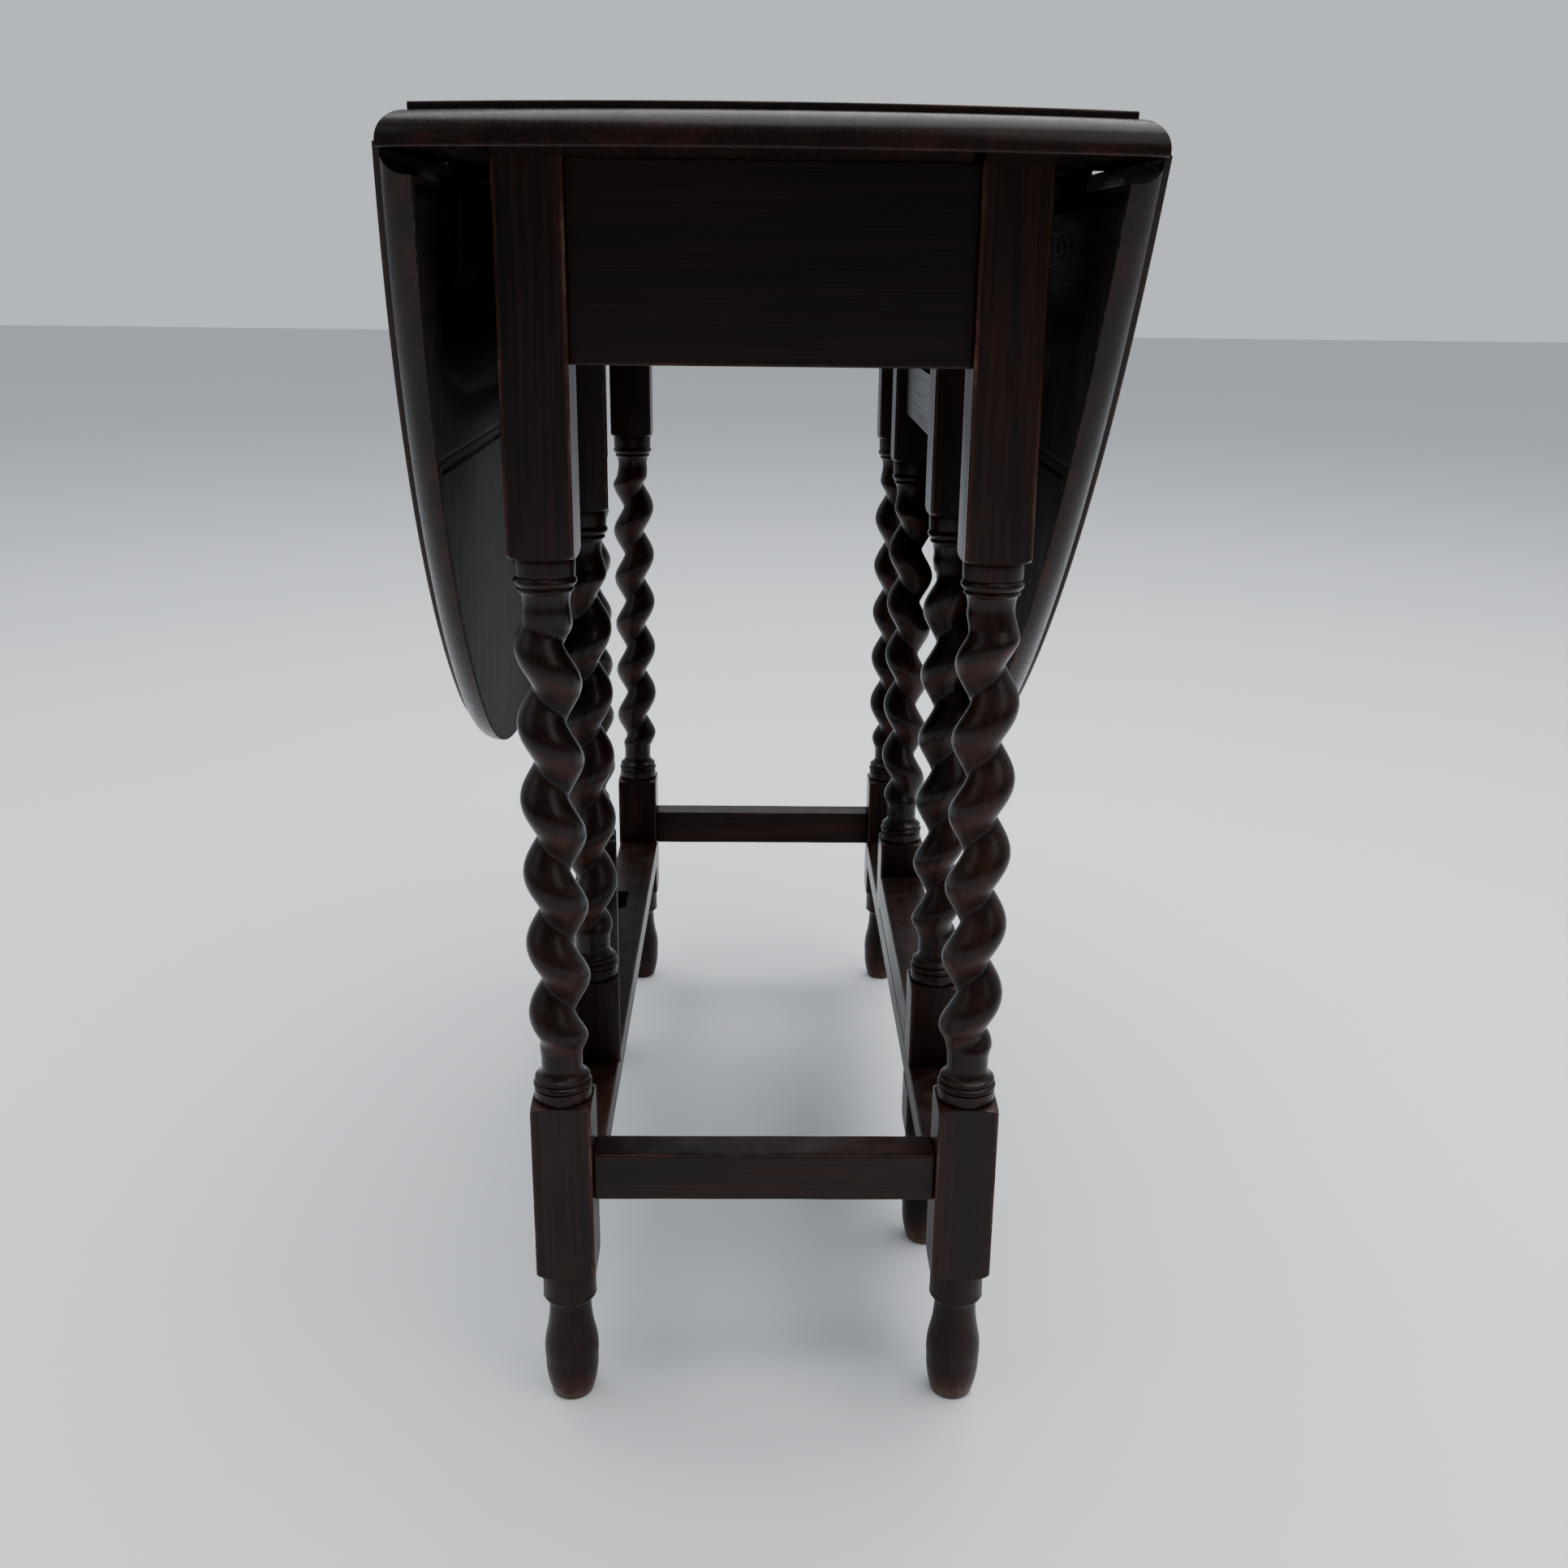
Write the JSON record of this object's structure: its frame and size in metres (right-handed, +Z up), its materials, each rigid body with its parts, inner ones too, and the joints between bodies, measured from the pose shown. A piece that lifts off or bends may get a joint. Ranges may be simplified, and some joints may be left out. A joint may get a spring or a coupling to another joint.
{
  "type": "gateleg table",
  "caption": "Oval drop-leaf table on a narrow frame of barley-twist legs; leaves hinge up on rule joints and swinging gates carry them.",
  "frame": {"origin": "on the floor under the middle of the table at rest; the left leaf is held 3 degrees out by its gate, which stands 5.2 degrees open, and the right leaf leans 3.4 degrees in, so the middle of the fixed top is 9.6 mm to the right of the origin", "axes": "+Z up, +Y along the fixed centre of the top, +X across it towards the right leaf"},
  "size_m": [0.382, 0.8, 0.736],
  "materials": {
    "oak_top": "dark stained oak, satin polish",
    "oak_frame": "dark stained oak, satin polish, open grain",
    "oak_turned": "dark stained oak, glossier on the turnings",
    "iron_hinges": "black iron, dull",
    "steel_screws": "dulled steel"
  },
  "bodies": {
    "frame": {"apron_back": "oak_frame", "apron_front": "oak_frame", "apron_left": "oak_frame", "apron_right": "oak_frame", "glue_block_back_left": "oak_frame", "glue_block_back_right": "oak_frame", "glue_block_front_left": "oak_frame", "glue_block_front_right": "oak_frame", "hinge_frame_screws": "steel_screws", "hinge_left_back_frame_plate": "iron_hinges", "hinge_left_back_pin": "iron_hinges", "hinge_left_front_frame_plate": "iron_hinges", "hinge_left_front_pin": "iron_hinges", "hinge_right_back_frame_plate": "iron_hinges", "hinge_right_back_pin": "iron_hinges", "hinge_right_front_frame_plate": "iron_hinges", "hinge_right_front_pin": "iron_hinges", "leg_back_left": "oak_turned", "leg_back_right": "oak_turned", "leg_front_left": "oak_turned", "leg_front_right": "oak_turned", "stretcher_back": "oak_frame", "stretcher_front": "oak_frame", "stretcher_left": "oak_frame", "stretcher_right": "oak_frame", "top_board_left": "oak_top", "top_board_middle": "oak_top", "top_board_right": "oak_top", "top_fixing_screws": "steel_screws"},
    "leaf_left": {"hinge_left_back_leaf_plate": "iron_hinges", "hinge_left_front_leaf_plate": "iron_hinges", "leaf_left_inner_board": "oak_top", "leaf_left_outer_board": "oak_top", "leaf_left_screws": "steel_screws"},
    "leaf_right": {"hinge_right_back_leaf_plate": "iron_hinges", "hinge_right_front_leaf_plate": "iron_hinges", "leaf_right_inner_board": "oak_top", "leaf_right_outer_board": "oak_top", "leaf_right_screws": "steel_screws"},
    "gate_left": {"gate_left_leg": "oak_turned", "gate_left_low_rail": "oak_frame", "gate_left_pivot_post": "oak_turned", "gate_left_top_rail": "oak_frame"},
    "gate_right": {"gate_right_leg": "oak_turned", "gate_right_low_rail": "oak_frame", "gate_right_pivot_post": "oak_turned", "gate_right_top_rail": "oak_frame"}
  },
  "joints": [
    {"name": "leaf_left_lift", "type": "hinge", "parent": "frame", "child": "leaf_left", "pos_m": [-0.15493, 0, 0.719], "axis": [0, 1, 0], "range_deg": [0, 87]},
    {"name": "leaf_right_lift", "type": "hinge", "parent": "frame", "child": "leaf_right", "pos_m": [0.17407, 0, 0.719], "axis": [0, -1, 0], "range_deg": [0, 93.4]},
    {"name": "gate_left_swing", "type": "hinge", "parent": "frame", "child": "gate_left", "pos_m": [-0.10743, -0.137, 0.145], "axis": [0, 0, 1], "range_deg": [-5.2, 0]},
    {"name": "gate_right_swing", "type": "hinge", "parent": "frame", "child": "gate_right", "pos_m": [0.12657, 0.137, 0.145], "axis": [0, 0, 1], "range_deg": [0, 1.2]}
  ]
}
